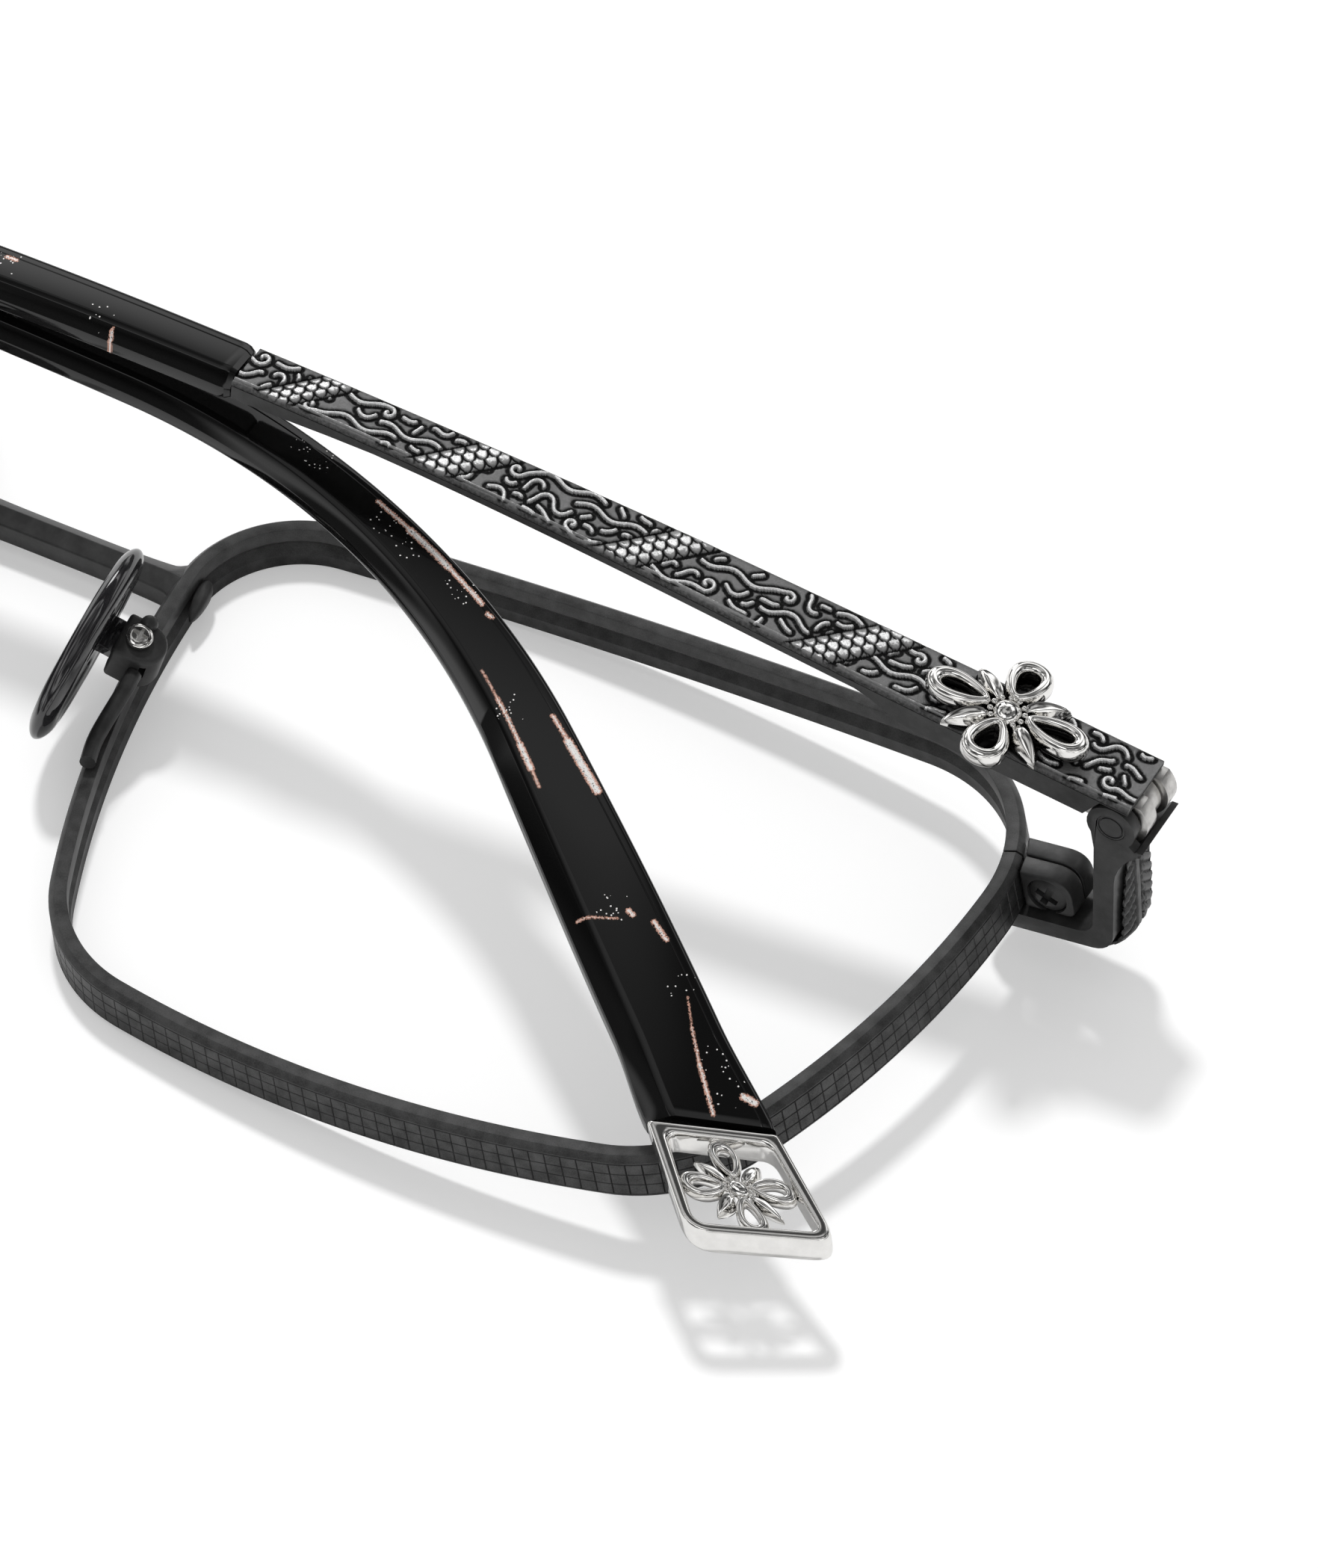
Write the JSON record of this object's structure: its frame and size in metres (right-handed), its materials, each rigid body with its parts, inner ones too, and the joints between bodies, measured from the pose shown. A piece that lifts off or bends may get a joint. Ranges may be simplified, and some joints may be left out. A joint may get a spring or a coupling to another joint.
{
  "type": "eyeglass frame",
  "caption": "Full-rim metal eyeglass frame without lenses, its carved temples folded on spring-free hinges, with adjustable nose pads and acetate temple tips.",
  "frame": {"origin": "middle of the folded frame's footprint, on the plane that the fronts of the rims rest on", "axes": "+X towards the wearer's right, +Y towards the brow, +Z from the front of the frame back towards the wearer"},
  "size_m": [0.143, 0.0405, 0.0224],
  "materials": {
    "satin_black_metal": "satin black coating",
    "black_screw": "satin black coating",
    "carved_gunmetal": "darkened relief with worn bright crests",
    "bare_steel": "machined, uncoated",
    "chrome_screw": "polished",
    "aged_silver": "polished crests over dark hollows",
    "polished_silver": "polished",
    "black_acetate": "gloss black with pale metal foil flecks under the surface",
    "dark_pad": "gloss, dark smoke"
  },
  "bodies": {
    "front": {"bridge": "satin_black_metal", "rim_right": "satin_black_metal", "lock_lower_right": "satin_black_metal", "lock_upper_right": "satin_black_metal", "lock_screw_right": "black_screw", "endpiece_right": "satin_black_metal", "endpiece_cover_right": "carved_gunmetal", "hinge_knuckle_right": "bare_steel", "hinge_pin_right": "black_screw", "pad_box_right": "satin_black_metal", "pad_arm_right": "satin_black_metal", "pad_screw_right": "chrome_screw", "rim_left": "satin_black_metal", "lock_lower_left": "satin_black_metal", "lock_upper_left": "satin_black_metal", "lock_screw_left": "black_screw", "endpiece_left": "satin_black_metal", "endpiece_cover_left": "carved_gunmetal", "hinge_knuckle_left": "bare_steel", "hinge_pin_left": "black_screw", "pad_box_left": "satin_black_metal", "pad_arm_left": "satin_black_metal", "pad_screw_left": "chrome_screw"},
    "right_temple": {"temple_bar_right": "carved_gunmetal", "hinge_leaf_right": "bare_steel", "temple_rosette_right": "aged_silver", "temple_tip_right": "black_acetate", "end_cap_right": "polished_silver", "cap_rosette_right": "aged_silver"},
    "right_pad": {"nose_pad_right": "dark_pad"},
    "left_temple": {"temple_bar_left": "carved_gunmetal", "hinge_leaf_left": "bare_steel", "temple_rosette_left": "aged_silver", "temple_tip_left": "black_acetate", "end_cap_left": "polished_silver", "cap_rosette_left": "aged_silver"},
    "left_pad": {"nose_pad_left": "dark_pad"}
  },
  "joints": [
    {"name": "right_temple_fold", "type": "hinge", "parent": "front", "child": "right_temple", "pos_m": [0.0695, 0.01175, 0.014], "axis": [0, 1, 0], "range_deg": [0, 87]},
    {"name": "left_temple_fold", "type": "hinge", "parent": "front", "child": "left_temple", "pos_m": [-0.0695, 0.01175, 0.014], "axis": [0, -1, 0], "range_deg": [0, 89.4]},
    {"name": "right_pad_rock", "type": "hinge", "parent": "front", "child": "right_pad", "pos_m": [0.0104, 0.00304, 0.00535], "axis": [0.3727, -0.1003, 0.9225], "range_deg": [-8, 8]},
    {"name": "left_pad_rock", "type": "hinge", "parent": "front", "child": "left_pad", "pos_m": [-0.0104, 0.00304, 0.00535], "axis": [-0.3727, -0.1003, 0.9225], "range_deg": [-8, 8]}
  ]
}
